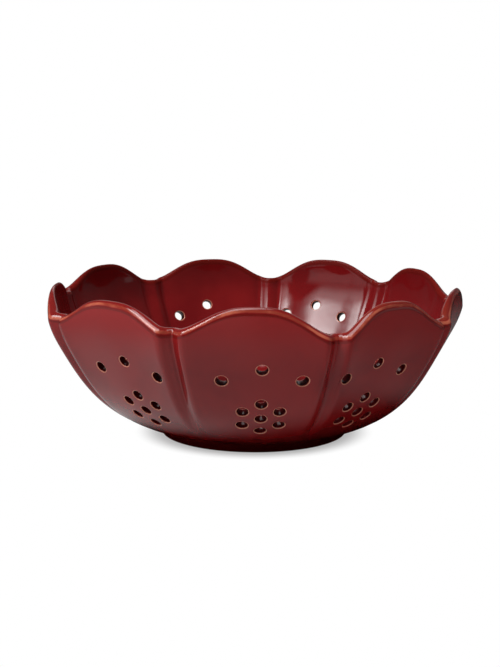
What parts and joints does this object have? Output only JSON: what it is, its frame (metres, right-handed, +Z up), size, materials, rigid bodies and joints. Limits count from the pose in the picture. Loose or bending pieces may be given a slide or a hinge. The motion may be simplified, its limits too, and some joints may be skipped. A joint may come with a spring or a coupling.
{
  "type": "colander bowl",
  "caption": "Round glazed stoneware bowl with a scalloped petal rim, flutes between the petals, patterns of drain holes through the wall and a low foot ring, for rinsing and serving berries.",
  "frame": {"origin": "centre of the foot ring, on the plane that the bowl stands on", "axes": "+Z is up along the bowl's axis, towards the open mouth; petal_1, the petal seen head-on in the picture, faces -Y; +X is the right-hand side as that petal is looked at"},
  "size_m": [0.1981, 0.1964, 0.0724],
  "materials": {
    "glaze": "gloss",
    "foot": "gloss"
  },
  "bodies": {
    "root": {"petal_1": "glaze", "petal_2": "glaze", "petal_3": "glaze", "petal_4": "glaze", "petal_5": "glaze", "petal_6": "glaze", "petal_7": "glaze", "petal_8": "glaze", "petal_9": "glaze", "floor_disc": "glaze", "foot_ring": "foot"}
  },
  "joints": []
}
